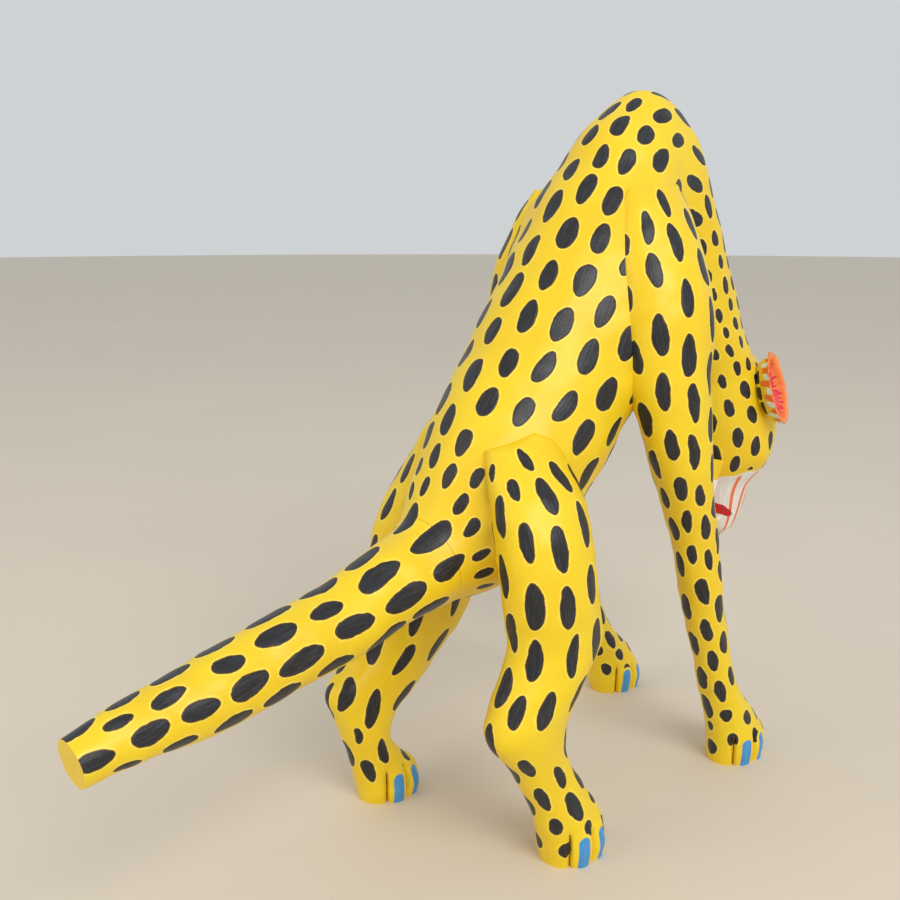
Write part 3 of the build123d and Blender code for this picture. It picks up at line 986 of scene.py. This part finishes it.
def makeMouthPart(name, cuts, nodes, material, sides, step, lips=False):
    look = mouthLook
    turn = fullTurn(sides)
    skin = skinAt(cuts, evenRings(cuts, (0, len(cuts) - 1), step), turn)
    skin = skin + gridNormals(skin) * uneven(skin, look["waves"])[..., None]
    grid = withDome(skin, look["domeRise"], look["domeRings"])
    data = {"flow": flowOf(grid)}
    if lips:
        red = (fromTop(turn) - look["redHalf"]) * look["redScale"]
        data["red"] = np.repeat(red[None], len(grid), 0)
        data["throat"] = look["throat"] + wobble(grid, *look["throatUneven"]) - grid[..., 2]
    skinPiece(name, grid, data, material, "root", nodes)


makeMouthPart("jawSkin", jawCuts, ["lower_jaw"], jawPaint, 140, 1.2, lips=True)
makeMouthPart("tongueSkin", tongueCuts, ["tongue"], tonguePaint, 80, 1.0)


# A fang is a cone that bends a little and ends in a rounded point. Roots and tips are
# ahead and height.
fangLook = {
    "rings": 26, "sides": 32, "roundness": 2.2, "taper": 0.35, "least": 0.05,
    "upper": {"x": 14, "root": (344, 205), "tip": (316, 197), "radius": 3.2, "bend": 1.0},
    "lower": {"x": 8, "root": (299, 193), "tip": (324, 189), "radius": 2.8, "bend": -1.0},
}


def makeFang(row, side, sideName):
    look, fang = fangLook, fangLook[row]
    root, tip = (place(side * fang["x"], *fang[end]) for end in ("root", "tip"))
    f = np.linspace(0, 1, look["rings"])[:, None, None]
    axis = tip - root
    aside = unit(np.cross(axis, across))
    turn = fullTurn(look["sides"])[None, :, None]
    point = np.sqrt(np.clip(1 - f ** look["roundness"], 0.0, 1))
    size = fang["radius"] * point * (1 - look["taper"] * f) + look["least"]
    centre = root + axis * f + aside * fang["bend"] * np.sin(np.pi * f)
    grid = centre + size * (np.cos(turn) * across + np.sin(turn) * aside)
    data = {"flow": flowOf(grid)}
    name, node = row + "Fang" + sideName, row + "_fangs"
    skinPiece(name, grid, data, fangPaint, "root", [node])


for side, sideName in ((-1, "Right"), (1, "Left")):
    for row in ("upper", "lower"):
        makeFang(row, side, sideName)


# An ear is a carved cup: the outer skin, over its rim, and down into the hollow. The
# top of the rim is notched like tufts of hair. The profile is sizes at shares of the
# depth; the rim's rings have a depth and a size each.
earLook = {
    "centre": (62, 349, 335), "mouth": (0.93, 0.20, 0.26), "rim": (34.0, 21.0), "depth": 22.0,
    "wall": 4.0, "sides": 260, "tuft": 8.0, "gap": 0.3, "rings": 24, "hollow": 0.86,
    "shares": (0.0, 0.3, 0.65, 1.0), "sizes": (1.0, 0.94, 0.76, 0.34), "smooth": 5,
    "rimDepths": (0.0, -1.0, -1.2, -0.6), "rimSizes": (0.995, 0.97, 0.93, 0.89),
    "saws": 24, "sawFade": 2.4, "tuftShare": 0.8, "pushes": 8, "pushMost": 4,
    "backRoom": 1.2, "hollowRoom": 2.0, "neckRange": (14.0, 19.0), "far": 9.0,
    "stripes": 30, "stripeLean": 0.05, "stripeGap": 0.43, "fringe": (6.5, 2.5), "heart": 6.0,
    "hairSize": 1.6, "hairSeed": 52, "spotTop": 10.0, "spotHalves": (6.5, 4.0),
}


def makeEar(side, sideName):
    look = earLook
    out, ahead, up = look["mouth"]
    mouth = unit(np.array([side * out, -ahead, up]))
    tall = unit(np.array([0, 0, 1.0]) - mouth * mouth[2])
    wide = np.cross(mouth, tall)
    x, a, z = look["centre"]
    centre = place(side * x, a, z)
    turn = fullTurn(look["sides"])
    rings, rimRings, margin = look["rings"], len(look["rimDepths"]), look["smooth"] // 2
    outer, inner = np.linspace(1, 0.02, rings), np.linspace(0.0, 1, rings)
    shell = look["depth"] - look["wall"]
    depth = np.concatenate([look["depth"] * outer, look["rimDepths"], shell * inner])
    size = np.concatenate([
        np.interp(outer, look["shares"], look["sizes"]), look["rimSizes"],
        np.interp(inner, look["shares"], look["sizes"]) * look["hollow"]])
    window = np.ones(look["smooth"]) / look["smooth"]
    smooth = np.convolve(np.pad(size, margin, "edge"), window, "valid")
    for start in (0, rings + rimRings):
        middle = slice(start + margin, start + rings - margin)
        size[middle] = smooth[middle]
    high, half = look["rim"]
    ring = np.cos(turn)[:, None] * tall * high + np.sin(turn)[:, None] * wide * half
    grid = centre - mouth * depth[:, None, None] + ring[None] * size[:, None, None]
    count = len(depth)
    rows = np.arange(count)[:, None]
    outside, within = rows < rings + 1, rows > rings + rimRings - 1
    # tufts: saw-toothed lift of the rim round its upper half
    saw = np.abs((turn * look["saws"] / (2 * np.pi)) % 1 - 0.5) * 2
    saw = saw * (0.65 + 0.35 * np.sin(turn * 7))
    upper = np.clip(np.cos(turn) * 1.6 - 0.1, 0.12, 1)
    near = np.exp(-((rows - (rings + rimRings / 2)) / look["sawFade"]) ** 2)
    lift = near * look["tuft"] * saw * upper
    grid = grid + lift[..., None] * unit(ring) * look["tuftShare"]
    # nothing of the ear goes into the head or the neck
    least = np.where(within, look["hollowRoom"], look["gap"] + look["backRoom"])
    for _ in range(look["pushes"]):
        flat = grid.reshape(-1, 3)
        room = np.minimum(*(
            distanceTo(flat, bodyCuts, span) for span in (headRange, look["neckRange"])))
        push = np.clip(least - room.reshape(grid.shape[:2]), 0, look["pushMost"])
        grid = grid + mouth * push[..., None]
    # how far a point is from the rim, less than zero in the hollow
    rimPlace = np.abs(depth)[:, None] * np.where(outside, 1.0, -1.0)
    rimPlace = np.repeat(rimPlace, len(turn), 1)
    angles = np.repeat(turn[None], count, 0)
    hairs = np.stack([angles * 9, rimPlace * 0.1, np.zeros_like(angles)], -1)
    hairs = wobble(hairs, look["hairSize"], look["hairSeed"])
    data = spotData(grid, patches([
        (centre - mouth * 13 + s * wide * 17 + tall * h, tall, s * wide - 0.6 * mouth,
         *look["spotHalves"]) for s in (-1, 1) for h in (-15, 0, 15)]))
    data["inside"] = np.where(outside, rimPlace + 0.4, rimPlace - 0.5) + hairs * 0.5
    heart = look["heart"] - depth[:, None] + hairs * 2.6 + 2.5 * np.cos(turn)
    data["heart"] = np.where(within, heart, look["far"])
    slant = angles * look["stripes"] / (2 * np.pi) + rimPlace * look["stripeLean"]
    slant = slant % look["stripes"]
    bar = (np.abs(slant % 1 - 0.5) - look["stripeGap"]) * 6
    short, swing = look["fringe"]
    length = short + swing * np.sin(np.floor(slant) * 2.4)
    fringe = np.where(outside, rimPlace - length - hairs, look["far"])
    data["fringe"] = np.maximum(bar, fringe)
    data["pale"] = np.where(np.floor(slant) % 2 > 0, data["fringe"], look["far"])
    free = np.where(outside, look["spotTop"] - rimPlace, look["far"])
    data["spot"] = np.maximum(data["spot"], free)
    node = "ear_" + sideName.lower()
    name, body = "earSkin" + sideName, node + "_body"
    skinPiece(name, grid, data, earPaint, body, [node])


makeEar(-1, "Right")
makeEar(1, "Left")


# Pegs, dowels and nails keep their turned shapes and get a finish of their own.
keptNodes = [
    (bareWood("pegWood", (0.58, 0.40, 0.22)), "bare_wood", [
        "tail_peg", "ear_peg_right", "ear_peg_left"]),
    (bareWood("dowelWood", (0.66, 0.50, 0.31)), "dowel_wood", [
        "neck_dowels", "shoulder_dowels_right", "shoulder_dowels_left",
        "hip_dowels_right", "hip_dowels_left", "jaw_dowel"]),
    (nailSteel("nailSteel"), "nail_steel", [
        "shoulder_nails_right", "shoulder_nails_left",
        "hip_nails_right", "hip_nails_left"]),
]
for material, slotName, nodeNames in keptNodes:
    for nodeName in nodeNames:
        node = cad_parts[nodeName]
        node.data.materials.clear()
        node.data.materials.append(material)
print("kept nodes finished")


# Pale floor, soft light from the upper left and behind the camera, camera low behind
# the right hip.
studio = {
    "floorRadius": 14.0, "floor": (0.74, 0.66, 0.55), "floorShade": 0.93, "floorRough": 0.6,
    "floorRelief": 0.0002, "sky": (0.95, 0.98, 1.0), "skyStrength": 0.66, "aim": (0, 0, 0.3),
    "keyPower": 72.0, "keyPlace": (-2.9, 0.9, 2.5), "keySize": 2.0,
    "keyColour": (1.0, 0.99, 0.96),
    "fillPower": 24.0, "fillPlace": (1.0, 3.2, 2.0), "fillSize": 2.2, "fillColour": (1.0, 0.80, 0.55),
    "lens": 44, "cameraPlace": (-0.591, 0.6309, 0.496), "cameraTurn": (78, 0, -134.03),
}
bpy.context.scene.view_settings.view_transform = "Standard"
bpy.ops.mesh.primitive_circle_add(vertices=128, radius=studio["floorRadius"], fill_type="NGON")
floor = bpy.context.object
floor.name = "studioFloor"
floorRecipe = Recipe("studioFloor")
floorWhere = floorRecipe.add("ShaderNodeTexCoord", out="Object")
floorCloud = floorRecipe.noise(floorWhere, 3.0, 4.0)
floorColour = floorRecipe.mix(
    floorCloud.step(0.35, 0.7) * 0.3, studio["floor"],
    darker(studio["floor"], studio["floorShade"]))
floor.data.materials.append(floorRecipe.finish(
    floorColour, studio["floorRough"], floorCloud, studio["floorRelief"],
    {"Specular IOR Level": 0.3}))
world = bpy.data.worlds.new("studioSky")
bpy.context.scene.world = world
world.use_nodes = True
sky = world.node_tree.nodes["Background"].inputs
sky["Color"].default_value = (*studio["sky"], 1)
sky["Strength"].default_value = studio["skyStrength"]


# A square soft light that faces the figure's middle.
def softLight(name):
    data = bpy.data.lights.new(name, "AREA")
    data.energy = studio[name + "Power"]
    data.size = studio[name + "Size"]
    data.color = studio[name + "Colour"]
    light = newObject(name, data)
    light.location = studio[name + "Place"]
    aim = Vector(studio["aim"]) - Vector(studio[name + "Place"])
    light.rotation_euler = aim.to_track_quat("-Z", "Y").to_euler()


softLight("key")
softLight("fill")

cameraData = bpy.data.cameras.new("camera")
cameraData.lens = studio["lens"]
camera = newObject("camera", cameraData)
camera.location = studio["cameraPlace"]
camera.rotation_euler = [math.radians(angle) for angle in studio["cameraTurn"]]
bpy.context.scene.camera = camera
